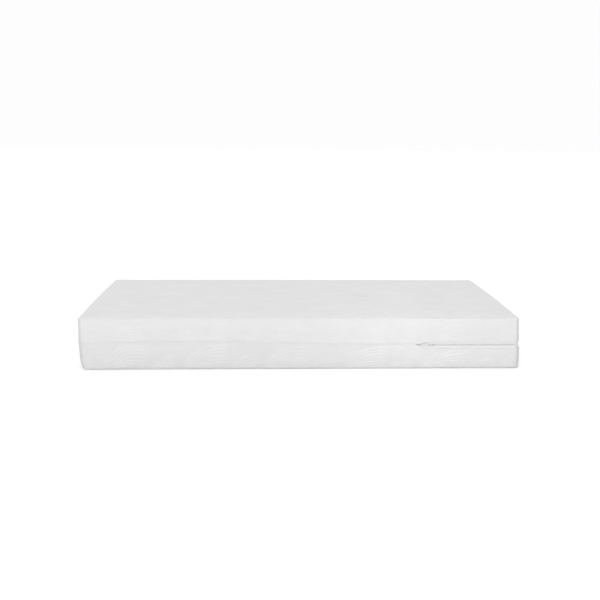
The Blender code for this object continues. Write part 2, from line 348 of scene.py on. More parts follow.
def cover_cage(upper):
    """Coarse cage of one cover half, and how firmly each point is held by seam and floor."""
    xs = steps(COVER_CORNER - HALF_X, HALF_X - COVER_CORNER, CAGE_PITCH,
               ((-1, -0.96, 0.014), (0.51, 0.63, 0.0095), (0.96, 1, 0.014)))
    ys = steps(COVER_CORNER - HALF_Y, HALF_Y - COVER_CORNER, CAGE_PITCH,
               ((-0.45, -0.41, 0.014), (0.41, 0.45, 0.014)))
    outline, normals, nx, ny = plan_ring(xs, ys, CAGE_ARC, COVER_CORNER)
    count = len(outline)
    waist = WAIST if upper else TOP - WAIST
    opening = half_opening(outline[:, 0], upper)
    lips = np.array([lip_profile(x, upper) for x in outline[:, 0]])
    rings, held = [], []

    def ring(depth, z, hold):
        rings.append(np.column_stack([outline - normals * depth, np.broadcast_to(z, count)]))
        held.append(hold)

    for k in range(lips.shape[1]):
        ring(lips[:, k, :1], waist + opening + lips[:, k, 1], 1.0)
    low = waist + opening + RIM_RISE
    high = TOP - COVER_EDGE
    for t in (0.25, 0.5, 0.75, 1.0):
        ring(0.0, low + (high - low) * t, 0.0)
    for angle in (32, 60, 90):
        a = radians(angle)
        ring(COVER_EDGE - COVER_EDGE * cos(a), high + COVER_EDGE * sin(a), 0.0)
    points = np.vstack(rings)
    hold = np.repeat(held, count)
    faces = ring_faces(0, count, len(rings))
    # The flat face: a grid blended between the four sides of the last ring.
    index = rim_index((len(rings) - 1) * count, nx, ny)
    front, back = points[index[:, 0]], points[index[:, ny]]
    left, right = points[index[0]], points[index[nx]]
    inner = []
    for i in range(1, nx):
        for j in range(1, ny):
            u = (front[i, 0] - front[0, 0]) / (front[nx, 0] - front[0, 0])
            v = (left[j, 1] - left[0, 1]) / (left[ny, 1] - left[0, 1])
            edge = (1 - v) * front[i] + v * back[i] + (1 - u) * left[j] + u * right[j]
            corners = ((1 - u) * (1 - v) * front[0] + u * (1 - v) * front[nx]
                       + (1 - u) * v * back[0] + u * v * back[nx])
            index[i, j] = len(points) + len(inner)
            inner.append(edge - corners)
    points = np.vstack([points, inner])
    hold = np.concatenate([hold, np.zeros(len(inner))])
    faces += grid_faces(index, False)
    if not upper:
        points[:, 2] = TOP - points[:, 2]
        faces = [f[::-1] for f in faces]
        inset = np.minimum(HALF_X - np.abs(points[:, 0]), HALF_Y - np.abs(points[:, 1]))
        resting = smooth((inset - 0.02) / 0.05) * (points[:, 2] < 0.001)
        hold = np.maximum(hold, resting)
    return points, faces, hold


def settle(thing, hold):
    """Swells the fabric a little between its seams, keeping each point within the cap of its start."""
    shape = thing.data
    start = read_vectors(shape)
    group = thing.vertex_groups.new(name="held")
    for value in np.unique(np.round(hold, 2)):
        if value > 0:
            chosen = [int(i) for i in np.nonzero(np.round(hold, 2) == value)[0]]
            group.add(chosen, float(value), "REPLACE")
    cloth = thing.modifiers.new("swell", "CLOTH")
    for setting, value in SWELL_SETTINGS.items():
        setattr(cloth.settings, setting, value)
    cloth.settings.effector_weights.gravity = 0
    cloth.collision_settings.use_collision = False
    cloth.point_cache.frame_start = 1
    cloth.point_cache.frame_end = SWELL_FRAMES
    scene = bpy.context.scene
    for number in range(1, SWELL_FRAMES + 1):
        scene.frame_set(number)
    graph = bpy.context.evaluated_depsgraph_get()
    moved = read_vectors(thing.evaluated_get(graph).to_mesh())
    thing.evaluated_get(graph).to_mesh_clear()
    thing.modifiers.clear()
    thing.vertex_groups.clear()
    scene.frame_set(1)
    shift = moved - start
    far = np.linalg.norm(shift, axis=1, keepdims=True)
    set_points(shape, start + shift * SWELL_CAP / (SWELL_CAP + far))


def unfolded(points, upper):
    """Where each point lies on the flat cloth: straight out from the flat face and down the sides."""
    inner_x = np.clip(points[:, 0], COVER_CORNER - HALF_X, HALF_X - COVER_CORNER)
    inner_y = np.clip(points[:, 1], COVER_CORNER - HALF_Y, HALF_Y - COVER_CORNER)
    out = np.column_stack([points[:, 0] - inner_x, points[:, 1] - inner_y])
    size = np.linalg.norm(out, axis=1, keepdims=True)
    n = np.where(size > 1e-6, out / np.maximum(size, 1e-6), 0.0)
    down = (TOP - points[:, 2]) if upper else points[:, 2]
    down = np.clip(down, 0, None)[:, None]
    flat = points[:, :2] + n * down
    return flat[:, 0], flat[:, 1], down[:, 0] * (size[:, 0] > 1e-6)


def fan(s, z, crown, centre, inner, outer, start, end, ribbed):
    """Nested arched ribs about a centre below them, from angle start to end: 0 to 1 on a rib.
    Without ribbed it gives the whole area that they cover."""
    across = (s - crown + FAN_PERIOD / 2) % FAN_PERIOD - FAN_PERIOD / 2
    r = np.hypot(across, z - centre)
    angle = np.degrees(np.arctan2(across, z - centre))
    window = smooth((r - inner) / 0.02) * smooth((outer - r) / 0.012)
    window = window * smooth((angle - start) / 10) * smooth((end - angle) / 14)
    return window * (0.5 + 0.5 * np.cos(2 * pi * r / RIB_PITCH)) if ribbed else window


def border_ribs(p, normal, upper, ribbed=True):
    """Height, 0 to 1, of the ribs on the border: tall fans, with short ones between them low down."""
    run = np.where(normal[:, 1] < 0, p[:, 0], 3 * HALF_X + 2 * HALF_Y - p[:, 0])
    on_end = np.abs(normal[:, 0]) > np.abs(normal[:, 1])
    right_run = HALF_X + HALF_Y + p[:, 1]
    left_run = 3 * HALF_X + 3 * HALF_Y - p[:, 1]
    run = np.where(on_end, np.where(normal[:, 0] > 0, right_run, left_run), run)
    wander = 0.004 * ripple(run, p[:, 2] * 1.3, 0.22, 4.0)
    z = p[:, 2] + wander
    if upper:
        return fan(run, z, FAN_CROWN, -0.04, 0.155, 0.25, -32, 12, ribbed)
    tall = fan(run, z, FAN_CROWN, -0.113, 0.118, 0.228, -54, 15, ribbed)
    short = fan(run, z, FAN_CROWN + FAN_PERIOD / 2, -0.135, 0.135, 0.208, -44, -1, ribbed)
    return np.maximum(tall, short)


def refine_ribs(shape, upper):
    """Halves the border's edges wherever it carries ribs, so that they are real relief."""
    p = read_vectors(shape)
    out = np.maximum(np.abs(p[:, 0]) - HALF_X, np.abs(p[:, 1]) - HALF_Y)
    off_rim = np.abs(p[:, 2] - WAIST) - half_opening(p[:, 0], upper)
    ribbed = border_ribs(p, read_vectors(shape, "normal"), upper, False) > 0.02
    ribbed &= (out > -0.0035) & (off_rim > 0.006)
    work = bmesh.new()
    work.from_mesh(shape)
    chosen = [e for e in work.edges if all(ribbed[v.index] for v in e.verts)]
    bmesh.ops.subdivide_edges(work, edges=chosen, cuts=1, use_grid_fill=True, smooth=0.0)
    work.to_mesh(shape)
    work.free()


def add_cover(name, upper):
    points, faces, hold = cover_cage(upper)
    thing = mesh_object(name, points, faces)
    settle(thing, hold)
    if not upper:
        p = read_vectors(thing.data)
        p[:, 2] = np.maximum(p[:, 2], FLOOR_CLEARANCE + 0.0001)
        set_points(thing.data, p)
    level = thing.modifiers.new("round", "SUBSURF")
    level.levels = 2
    level.render_levels = 2
    apply_modifiers(thing)
    shape = thing.data
    refine_ribs(shape, upper)
    shape.polygons.foreach_set("use_smooth", [True] * len(shape.polygons))
    shape.update()
    p = read_vectors(shape)
    normals = read_vectors(shape, "normal")
    u, v, down = unfolded(p, upper)
    side = down > 0.004
    off_rim = np.abs(p[:, 2] - WAIST) - half_opening(p[:, 0], upper)
    fade = smooth((off_rim - 0.004) / 0.012)
    # Loose unevenness of a stretched knit, and small gathers along the seam.
    move = ripple(u, v, 0.19, 8.0 if upper else 11.0) * 0.0006 * fade * np.where(side, 1.0, 0.6)
    near_seam = np.exp(-((off_rim - 0.012) / 0.011) ** 2) * side * fade
    gather = ripple(p[:, 0], p[:, 1], 0.045, 2.0 if upper else 5.0)
    move = move + 0.00035 * gather * near_seam
    # Knitted ribs, which die away towards the corners, the seam and the two edges.
    corner_x = np.abs(p[:, 0]) - (HALF_X - COVER_CORNER)
    corner_y = np.abs(p[:, 1]) - (HALF_Y - COVER_CORNER)
    flat_part = smooth(np.maximum(-corner_x, -corner_y) / 0.015)
    ribs = border_ribs(p, normals, upper) * flat_part * fade * smooth((down - 0.004) / 0.01)
    patchy = 0.55 + 0.45 * smooth(0.5 + 0.6 * ripple(u, v, 0.31, 6.0))
    ribs = ribs * patchy * side * (UPPER_RIB_SHARE if upper else 1.0)
    move = move + RIB_HEIGHT * ribs
    # Vertical seam in each corner.
    angle = np.degrees(np.arctan2(corner_y, np.maximum(corner_x, 1e-9)))
    in_corner = (corner_x > 0) & (corner_y > 0) & (down > 0.002)
    groove = np.exp(-((angle - 45) / 6.0) ** 2) * in_corner * smooth((down - 0.002) / 0.01)
    move = move - 0.001 * groove
    p = p + normals * move[:, None]
    set_points(shape, p)
    # Painted light and shade in the knit's colour: the border is lighter near the top edge (painted
    # highlight), darker towards the floor and along the bottom edge (painted shade), lighter towards
    # the right on the lower half (painted light), and darker round the corners (painted shade). The
    # underside is darker as well.
    height = unit(p[:, 2] / TOP)
    if upper:
        tone = 1.0 + 0.028 * side * smooth((height - 0.6) / 0.36)
    else:
        tone = 1.0 - side * (0.016 + 0.05 * smooth((0.46 - height) / 0.46))
        tone = tone + 0.026 * side * smooth((p[:, 0] - 0.1) / 0.6)
        tone = np.where(side, tone, 0.93) - 0.09 * side * smooth((0.014 - p[:, 2]) / 0.014)
    # Painted shade round the corners, where the border turns.
    turned = smooth((np.minimum(corner_x, corner_y) - 0.002) / 0.008) * side
    tone = tone * (1 - 0.11 * turned)
    # The tone attribute carries this painted highlight and shade into the knit's colour.
    for label, values in (("relief", np.where(side, 0.0, 0.55)), ("rib", ribs), ("tone", tone)):
        layer = shape.attributes.new(label, "FLOAT", "POINT")
        layer.data.foreach_set("value", np.asarray(values, np.float32))
    uv = shape.uv_layers.new(name="cloth")
    loops = np.empty(len(shape.loops), np.int32)
    shape.loops.foreach_get("vertex_index", loops)
    flat = np.column_stack([u, v if upper else -v])[loops]
    uv.data.foreach_set("uv", flat.astype(np.float32).ravel())
    p = warp(read_vectors(shape))
    if not upper:
        p[:, 2] = np.maximum(p[:, 2], FLOOR_CLEARANCE)
    set_points(shape, p)
    return thing


# ---- strips, foam and liner

def side_path(start, end, side_y, pitch=0.03):
    """Points along one straight long side."""
    count = max(int(abs(end - start) / pitch), 1)
    return [(x, side_y * HALF_Y, 0.0, float(side_y)) for x in np.linspace(start, end, count + 1)]


def corner_path(side_x, side_y, count=12):
    start = {(1, -1): -90, (1, 1): 0, (-1, 1): 90, (-1, -1): 180}[side_x, side_y]
    found = []
    for k in range(count + 1):
        a = radians(start + 90 * k / count)
        nx, ny = cos(a), sin(a)
        found.append((side_x * (HALF_X - CORNER) + CORNER * nx,
                      side_y * (HALF_Y - CORNER) + CORNER * ny, nx, ny))
    return found


def end_path(side_x, pitch=0.03):
    count = int((HALF_Y - CORNER) * 2 / pitch)
    ys = np.linspace(-1, 1, count + 1)[1:-1] * (HALF_Y - CORNER) * side_x
    return [(side_x * HALF_X, y, float(side_x), 0.0) for y in ys]


def zip_path(start, pitch=0.03):
    front = side_path(start, HALF_X - CORNER, -1, pitch)[:-1]
    back = side_path(HALF_X - CORNER, start, 1, pitch)[1:]
    return front + corner_path(1, -1) + end_path(1, pitch) + corner_path(1, 1) + back


def seam_path(end):
    back = side_path(end, CORNER - HALF_X, 1)[:-1]
    front = side_path(CORNER - HALF_X, end, -1)[1:]
    return back + corner_path(-1, 1) + end_path(-1) + corner_path(-1, -1) + front


def place(point, depth, z):
    x, y, nx, ny = point
    return (x - nx * depth, y - ny * depth, z)


def strip(name, path, section):
    """A closed strip along the path; section is its outline in depth and height, or gives it at x."""
    shapes = [section(p[0]) if callable(section) else section for p in path]
    count = len(shapes[0])
    points = [place(p, d, z) for p, shape in zip(path, shapes) for d, z in shape]
    faces = []
    for step in range(len(path) - 1):
        a = step * count
        for k in range(count):
            m = (k + 1) % count
            faces.append((a + k, a + m, a + count + m, a + count + k))
    last = (len(path) - 1) * count
    faces.append(tuple(range(count))[::-1])
    faces.append(tuple(last + k for k in range(count)))
    thing = mesh_object(name, warp(points), faces, False)
    fix_normals(thing)
    return thing


def fix_normals(thing):
    work = bmesh.new()
    work.from_mesh(thing.data)
    bmesh.ops.recalc_face_normals(work, faces=work.faces)
    work.to_mesh(thing.data)
    work.free()


def flat_section(depth, thickness, low, high, rows=4):
    """Outline of a flat tape with softened edges."""
    r = min(thickness, high - low) * 0.3
    outer = [(depth, low + r + (high - low - 2 * r) * k / rows) for k in range(rows + 1)]
    inner = [(depth + thickness, z) for _, z in reversed(outer)]
    return outer + [(depth + r, high)] + inner + [(depth + r, low)]


def tape_section(sign, x):
    """One zip tape: puffed out between rim and coil channel, but sunk under the lip at the mouth."""
    puff = (0.0042 if sign > 0 else 0.0044) * float(smooth((x - 0.534) / 0.014))
    edge = float(half_opening(x, sign > 0)) - 0.0068
    channel = float(smooth((x - 0.566) / 0.012))
    sunk = (1 - float(smooth((x - 0.56) / 0.034))) if sign > 0 else 0.0
    steepness = 0.38 if sign > 0 else 0.48
    outer = []
    for t in TAPE_STATIONS:
        slope = steepness * (1 - float(smooth((t - 0.004) / 0.0085)))
        bump = float(smooth((t - 0.004) / 0.0012)) * (1 - slope)
        bump = 1 - channel + channel * bump
        bump *= 1 - sunk * float(smooth((t - edge) / 0.0025))
        outer.append((TAPE_DEPTH - puff * bump, WAIST + sign * t))
    inner = [(d + TAPE, z) for d, z in reversed(outer)]
    return outer + inner


def side_depth(z, base, valley, cap):
    near = min(z, TOP - z)
    if near < EDGE:
        part = min((EDGE - near) / (EDGE - cap), 1.0)
        return EDGE - (EDGE - base) * sqrt(1 - part * part)
    off = abs(z - WAIST)
    t = min(max((off - VALLEY_FLAT) / (VALLEY_END - VALLEY_FLAT), 0.0), 1.0)
    return valley + (base - valley) * t


def foam_ring(pitch):
    xs, ys = (steps(CORNER - half, half - CORNER, pitch) for half in (HALF_X, HALF_Y))
    return plan_ring(xs, ys, FOAM_ARC)


def edge_rises(cap):
    """Heights of the rings round a rounded edge, from where the side begins to the flat face."""
    turns = [sin(radians(90 * k / EDGE_STEPS)) for k in range(EDGE_STEPS + 1)]
    return [cap + (EDGE - cap) * (1 - turn) for turn in turns]


def block(name, low, high, base, valley, cap, wobble):
    """A foam layer: rings from low to high and gridded flat faces, cut with a slightly wavy blade."""
    outline, normals, nx, ny = foam_ring(0.045)
    count = len(outline)
    heights = {low, high}
    for rise in edge_rises(cap)[:EDGE_STEPS]:
        heights |= {rise, TOP - rise}
    heights |= set(np.linspace(low, high, max(int((high - low) / 0.012), 1) + 1))
    heights = sorted(z for z in heights if low <= z <= high)
    kept = [heights[0]]
    for z in heights[1:]:
        if z - kept[-1] > 0.0006 or z == high:
            kept.append(z)
    rings = []
    for z in kept:
        wave = wobble * np.abs(ripple(outline[:, 0] + z * 3, outline[:, 1], 0.11, 3.0))
        d = side_depth(z, base, valley, cap) + wave
        rings.append(np.column_stack([outline - normals * d[:, None], np.full(count, z)]))
    points = list(np.vstack(rings))
    faces = ring_faces(0, count, len(kept))
    for level, flip in ((0, True), (len(kept) - 1, False)):
        faces += flat_cap(points, rings[level], level * count, nx, ny, flip)
    return mesh_object(name, warp(points), faces)


def liner_sock(name):
    """The stretch sock round the foam, 1 mm thick, with its slot open at the right end."""
    outline, normals, nx, ny = foam_ring(0.04)
    count = len(outline)
    points, faces, layers = [], [], []
    for offset in (0.0, LINER):
        cap = LINER_TOP_DEPTH + offset
        rises = edge_rises(cap)
        heights = rises[::-1] + list(np.linspace(0.02, SLOT_Z, 12)) + [SLOT_Z + SLOT_HEIGHT]
        heights += list(np.linspace(0.16, TOP - EDGE - 0.006, 5)) + [TOP - rise for rise in rises]
        rings = []
        for z in heights:
            d = np.full(count, side_depth(z, LINER_DEPTH + offset, VALLEY_DEPTH + offset, cap))
            if offset == 0:
                pucker = ripple(outline[:, 0], outline[:, 1] + z, 0.06, 2.0)
                d = d + 0.0004 * (0.5 + 0.5 * pucker)
            rings.append(np.column_stack([outline - normals * d[:, None], np.full(count, z)]))
        layers.append((len(points), rings))
        points += list(np.vstack(rings))
    slot_level = heights.index(SLOT_Z)
    first_cell, last_cell = nx + FOAM_ARC, nx + ny - FOAM_ARC

    def in_slot(level, cell):
        return level == slot_level and first_cell <= cell < last_cell

    for inside, (base, rings) in zip((False, True), layers):
        faces += ring_faces(base, count, len(rings), inside, in_slot)
        for level, top in ((0, False), (len(rings) - 1, True)):
            faces += flat_cap(points, rings[level], base + level * count, nx, ny, top == inside)
    # The slot's four edges join the outside of the cloth to its inside.
    shift = layers[1][0]
    for i in range(first_cell, last_cell):
        for level, flip in ((slot_level, True), (slot_level + 1, False)):
            a, b = level * count + i, level * count + i + 1
            quad = (a, b, b + shift, a + shift)
            faces.append(quad[::-1] if flip else quad)
    for i, flip in ((first_cell, False), (last_cell, True)):
        a, b = slot_level * count + i, (slot_level + 1) * count + i
        quad = (a, b, b + shift, a + shift)
        faces.append(quad[::-1] if flip else quad)
    thing = mesh_object(name, warp(points), faces)
    fix_normals(thing)
    return thing


# ---- zip teeth and stitches

def capsule(length, radius, sides=6):
    """A small closed thread shape lying along X: points and faces."""
    stations = [(-0.5, 0.35), (-0.38, 0.85), (0.0, 1.0), (0.38, 0.85), (0.5, 0.35)]
    points, faces = [], []
    for t, r in stations:
        for k in range(sides):
            a = 2 * pi * k / sides
            points.append((t * length, radius * r * cos(a), radius * r * sin(a)))
    for s in range(len(stations) - 1):
        for k in range(sides):
            m = (k + 1) % sides
            faces.append((s * sides + k, s * sides + m, (s + 1) * sides + m, (s + 1) * sides + k))
    faces.append(tuple(range(sides)))
    faces.append(tuple((len(stations) - 1) * sides + k for k in reversed(range(sides))))
    return np.array(points), faces


def scatter(name, shape, places):
    """One mesh of many copies of a small shape; each place is an origin and three axes."""
    base, faces = shape
    points, all_faces = [], []
    for k, (origin, ax, ay, az) in enumerate(places):
        points.append(base[:, :1] * ax + base[:, 1:2] * ay + base[:, 2:3] * az + origin)
        offset = k * len(base)
        all_faces += [tuple(offset + i for i in f) for f in faces]
    return mesh_object(name, np.vstack(points), all_faces)


def even_points(path, pitch, start=0.0):
    """Places every pitch along a path of outline points, with their normals."""
    path = np.array(path, float)
    run = np.linalg.norm(np.diff(path[:, :2], axis=0), axis=1)
    run = np.concatenate([[0], np.cumsum(run)])
    found = []
    for s in np.arange(start, run[-1], pitch):
        x, y, nx, ny = (np.interp(s, run, column) for column in path.T)
        size = np.linalg.norm((nx, ny))
        found.append((x, y, nx / size, ny / size))
    return found


def stitches(name, cover, path, height):
    """A row of stitches lying on the cover's outside, dipping at each end into the knit."""
    tree = BVHTree.FromObject(cover, bpy.context.evaluated_depsgraph_get())
    places = []
    for p in even_points(path, STITCH_PITCH):
        point = Vector(warp([place(p, -0.03, height(p[0]))])[0])
        direction = Vector((-p[2], -p[3], 0.0))
        hit, normal, _, _ = tree.ray_cast(point, direction, 0.08)
        if hit is None:
            continue
        if normal.dot(direction) > 0:
            normal = -normal
        along = Vector((-p[3], p[2], 0.0))
        along = (along - normal * along.dot(normal)).normalized()
        other = normal.cross(along)
        origin = np.array(hit) + np.array(normal) * STITCH_RADIUS * 0.25
        places.append((origin, np.array(along), np.array(other), np.array(normal)))
    return scatter(name, capsule(STITCH_LENGTH, STITCH_RADIUS), places)


def tooth():
    """One coil turn as seen from outside: a rounded loop 2.2 mm tall. X along the zip, Z outward."""
    points, faces = capsule(0.0022, 0.00056)
    return points[:, [1, 0, 2]], [f[::-1] for f in faces]


def coil(name, sign, path):
    """A run of coil turns along the path, on the outer side of its tape, with a core cord."""
    places = []
    for p in even_points(path, COIL_PITCH, 0.0 if sign > 0 else 0.00067):
        origin = warp([place(p, COIL_DEPTH, WAIST + sign * COIL_OFFSET)])[0]
        along = np.array([-p[3], p[2], 0.0])
        outward = np.array([p[2], p[3], 0.0])
        lean = np.array([0.0, 0.0, 1.0]) + along * 0.18 * sign
        lean = lean / np.linalg.norm(lean)
        places.append((origin, along, lean, outward))
    thing = scatter(name, tooth(), places)
    near, far = WAIST + sign * 0.0007, WAIST + sign * 0.0026
    square = [(0.005, near), (0.006, near), (0.006, far), (0.005, far)]
    join([thing, strip(name + "_core", path, square)])
    return thing


def join(things):
    """Makes one mesh of several, under the first one's name."""
    points, faces, smooth_flags = [], [], []
    for t in things:
        offset = sum(len(q) for q in points)
        points.append(read_vectors(t.data))
        faces += [tuple(offset + i for i in f.vertices) for f in t.data.polygons]
        smooth_flags += [f.use_smooth for f in t.data.polygons]
    shape = bpy.data.meshes.new(things[0].name)
    shape.from_pydata([tuple(p) for p in np.vstack(points)], [], faces)
    shape.polygons.foreach_set("use_smooth", smooth_flags)
    replace_mesh(things[0], shape)
    for t in things[1:]:
        bpy.data.objects.remove(t)


# ---- materials

def grey(level):
    return (level, level, level)


class Tree:
    """Short calls for adding nodes to a node tree."""

    def __init__(self, tree):
        self.tree = tree

    def add(self, kind, inputs=None, **settings):
        node = self.tree.nodes.new(kind)
        for key, value in settings.items():
            setattr(node, key, value)
        for key, value in (inputs or {}).items():
            if isinstance(value, bpy.types.NodeSocket):
                self.tree.links.new(value, node.inputs[key])
            else:
                node.inputs[key].default_value = value
        return node

    def math(self, operation, a, b=0.0):
        return self.add("ShaderNodeMath", {0: a, 1: b}, operation=operation).outputs[0]

    def times(self, a, b):
        return self.math("MULTIPLY", a, b)

    def plus(self, a, b):
        return self.math("ADD", a, b)


class Nodes(Tree):
    """Short calls for building one material."""

    def __init__(self, name, base, roughness, **more):
        self.material = bpy.data.materials.new(name)
        self.material.use_nodes = True
        super().__init__(self.material.node_tree)
        self.shader = self.tree.nodes["Principled BSDF"]
        inputs = {"Base Color": (*base, 1), "Roughness": roughness, **more}
        for setting, value in inputs.items():
            self.shader.inputs[setting].default_value = value

    def link(self, source, target):
        self.tree.links.new(source, self.shader.inputs[target])

    def roughness(self, value, low, high, level_low, level_high):
        self.link(self.ramp(value, low, high, grey(level_low), grey(level_high)), "Roughness")

    def vector(self, operation, a, b):
        inputs = {0: a, ("Scale" if operation == "SCALE" else 1): b}
        return self.add("ShaderNodeVectorMath", inputs, operation=operation).outputs[0]

    def place(self):
        return self.add("ShaderNodeTexCoord").outputs["Object"]

    def attribute(self, name):
        return self.add("ShaderNodeAttribute", attribute_name=name).outputs["Fac"]

    def stretch(self, vector, x, y):
        inputs = {"Vector": vector, "Scale": (x, y, 1.0)}
        return self.add("ShaderNodeMapping", inputs).outputs[0]

    def wave(self, vector, scale, distortion, direction, **more):
        inputs = {"Vector": vector, "Scale": scale, "Distortion": distortion, **more}
        return self.add("ShaderNodeTexWave", inputs, bands_direction=direction).outputs["Fac"]

    def cells(self, vector, scale, feature="F1"):
        inputs = {"Vector": vector, "Scale": scale}
        return self.add("ShaderNodeTexVoronoi", inputs, feature=feature).outputs["Distance"]

    def ramp(self, value, low, high, colour_low, colour_high):
        node = self.add("ShaderNodeValToRGB", {"Fac": value})
        for k, (position, colour) in enumerate(((low, colour_low), (high, colour_high))):
            node.color_ramp.elements[k].position = position
            node.color_ramp.elements[k].color = (*colour, 1)
        return node.outputs["Color"]

    def fade(self, value, start, end):
        """0 at start, 1 at end, with an eased change between."""
        low, high = (0.0, 1.0) if start < end else (1.0, 0.0)
        inputs = {"Value": value, "From Min": min(start, end), "From Max": max(start, end),
                  "To Min": low, "To Max": high}
        node = self.add("ShaderNodeMapRange", inputs, interpolation_type="SMOOTHSTEP")
        return node.outputs["Result"]

    def noise(self, vector, scale, detail=3.0, rough=0.5):
        inputs = {"Vector": vector, "Scale": scale, "Detail": detail, "Roughness": rough}
        return self.add("ShaderNodeTexNoise", inputs).outputs["Fac"]

    def bump(self, height, strength, distance, below=None):
        inputs = {"Height": height, "Strength": strength, "Distance": distance}
        if below is not None:
            inputs["Normal"] = below
        return self.add("ShaderNodeBump", inputs).outputs["Normal"]


def arches(n, u, w, first, base, reach):
    """One family of nested knit ribs: flattened arches that rise from the left and level out."""
    period, row, pitch, spread = 0.365, 0.165, 0.013, 0.78
    column = n.math("DIVIDE", n.math("SUBTRACT", u, first), period)
    column = n.math("FRACT", n.plus(column, 0.5))
    du = n.times(n.math("SUBTRACT", column, 0.5), period * spread)
    dw = n.math("FRACT", n.math("DIVIDE", n.math("SUBTRACT", w, base), row))
    dw = n.times(dw, row)
    r = n.plus(n.times(du, du), n.times(dw, dw))
    r = n.math("SQRT", r)
    angle = n.math("ARCTAN2", dw, du)
    ridge = n.math("COSINE", n.times(r, 2 * pi / pitch))
    window = n.times(n.fade(r, 0.03, 0.052), n.fade(r, reach, reach - 0.035))
    window = n.times(window, n.fade(angle, 1.42, 1.9))
    window = n.times(window, n.fade(angle, 2.95, 2.6))
    return n.times(window, n.plus(n.times(ridge, 0.5), 0.5))


def knit_material(name, tone):
    """Jacquard knit: fine loops, nested arched ribs in staggered clusters, and a soft bloom."""
    sheen = {"Sheen Weight": 0.06, "Sheen Roughness": 0.6, "Specular IOR Level": 0.25}
    n = Nodes(name, grey(tone), 0.9, **sheen)
    where = n.add("ShaderNodeUVMap", uv_map="cloth").outputs["UV"]
    drift = n.add("ShaderNodeTexNoise", {"Vector": where, "Scale": 7.0, "Detail": 1.0})
    drift = n.vector("SUBTRACT", drift.outputs["Color"], (0.5, 0.5, 0.5))
    bent = n.vector("ADD", where, n.vector("SCALE", drift, 0.035))
    axes = n.add("ShaderNodeSeparateXYZ", {"Vector": bent})
    u, w = axes.outputs["X"], axes.outputs["Y"]
    large = arches(n, u, w, -0.365, 0.412, 0.164)
    small = arches(n, u, w, -0.185, 0.35, 0.13)
    rib = n.math("MAXIMUM", large, n.times(small, 0.7))
    patch = n.fade(n.noise(where, 4.5, 2.0), 0.3, 0.62)
    patch = n.plus(n.times(patch, 0.65), 0.35)
    rib = n.times(n.times(rib, n.attribute("relief")), patch)
    detail = {"Detail": 1.0, "Detail Scale": 2.0}
    wales = n.wave(where, 175.0, 1.2, "X", **detail)
    courses = n.wave(where, 130.0, 1.0, "Y", **detail)
    loops = n.times(wales, courses)
    cloud = n.noise(n.place(), 9.0, 4.0, 0.6)
    fuzz = n.noise(where, 900.0, 2.0, 0.6)
    cord = n.noise(n.stretch(where, 22.0, 95.0), 1.0, 2.0)
    streak = n.noise(n.stretch(where, 11.0, 27.0), 1.0, 3.0, 0.6)
    shade = n.times(n.plus(rib, n.attribute("rib")), 0.5)
    shade = n.plus(shade, n.times(cloud, 0.4))
    shade = n.plus(shade, n.times(streak, 0.35))
    colour = n.ramp(shade, 0.15, 0.65, grey(tone * 0.955), grey(min(tone * 1.045, 1.0)))
    # The tone attribute scales the colour by the painted highlight and shade set in add_cover.
    n.link(n.vector("SCALE", colour, n.attribute("tone")), "Base Color")
    n.roughness(fuzz, 0.2, 0.8, 0.82, 0.97)
    normal = n.bump(rib, 1.0, 0.0034)
    normal = n.bump(streak, 0.6, 0.005, normal)
    normal = n.bump(cord, 0.6, 0.002, normal)
    normal = n.bump(loops, 0.35, 0.0004, normal)
    n.link(n.bump(fuzz, 0.2, 0.0002, normal), "Normal")
    return n.material


def woven_material(name, tone, pitch, tint=(1, 1, 1)):
    """Plain woven tape or binding: crossing threads at the given pitch, with slubs."""
    colour = tuple(tone * t for t in tint)
    n = Nodes(name, colour, 0.85, **{"Specular IOR Level": 0.3})
    spot = n.place()
    scale = 0.314 / pitch
    threads = n.times(n.wave(spot, scale, 0.4, "Z"), n.wave(spot, scale, 0.4, "DIAGONAL"))
    slub = n.noise(spot, 260.0, 3.0, 0.6)
    shade = n.plus(n.times(threads, 0.5), n.times(slub, 0.5))
    dark = tuple(c * 0.9 for c in colour)
    light = tuple(min(c * 1.06, 1) for c in colour)
    n.link(n.ramp(shade, 0.15, 0.75, dark, light), "Base Color")
    n.roughness(slub, 0.2, 0.8, 0.72, 0.93)
    n.link(n.bump(threads, 0.6, 0.0003), "Normal")
    return n.material


def nylon_material(name, tone):
    """Smooth, slightly uneven plastic thread."""
    n = Nodes(name, grey(tone), 0.35)
    spot = n.place()
    grime = n.noise(spot, 120.0, 3.0)
    n.link(n.ramp(grime, 0.3, 0.7, grey(tone * 0.93), grey(min(tone * 1.05, 1))), "Base Color")
    n.roughness(grime, 0.3, 0.7, 0.28, 0.46)
    n.link(n.bump(n.noise(spot, 1800.0, 2.0), 0.15, 0.0001), "Normal")
    return n.material


def enamel_material(name):
    """White baked enamel on zinc, thin and slightly grey on raised edges."""
    n = Nodes(name, grey(0.8), 0.3, **{"Coat Weight": 0.3})
    spot = n.place()
    edge = n.add("ShaderNodeNewGeometry").outputs["Pointiness"]
    speck = n.noise(spot, 420.0, 4.0, 0.7)
    worn = n.plus(edge, n.times(speck, 0.06))
    n.link(n.ramp(worn, 0.54, 0.6, (0.88, 0.88, 0.87), (0.66, 0.66, 0.67)), "Base Color")
    n.roughness(speck, 0.3, 0.7, 0.24, 0.38)
    n.link(n.bump(n.noise(spot, 1500.0, 2.0), 0.12, 0.0001), "Normal")
    return n.material


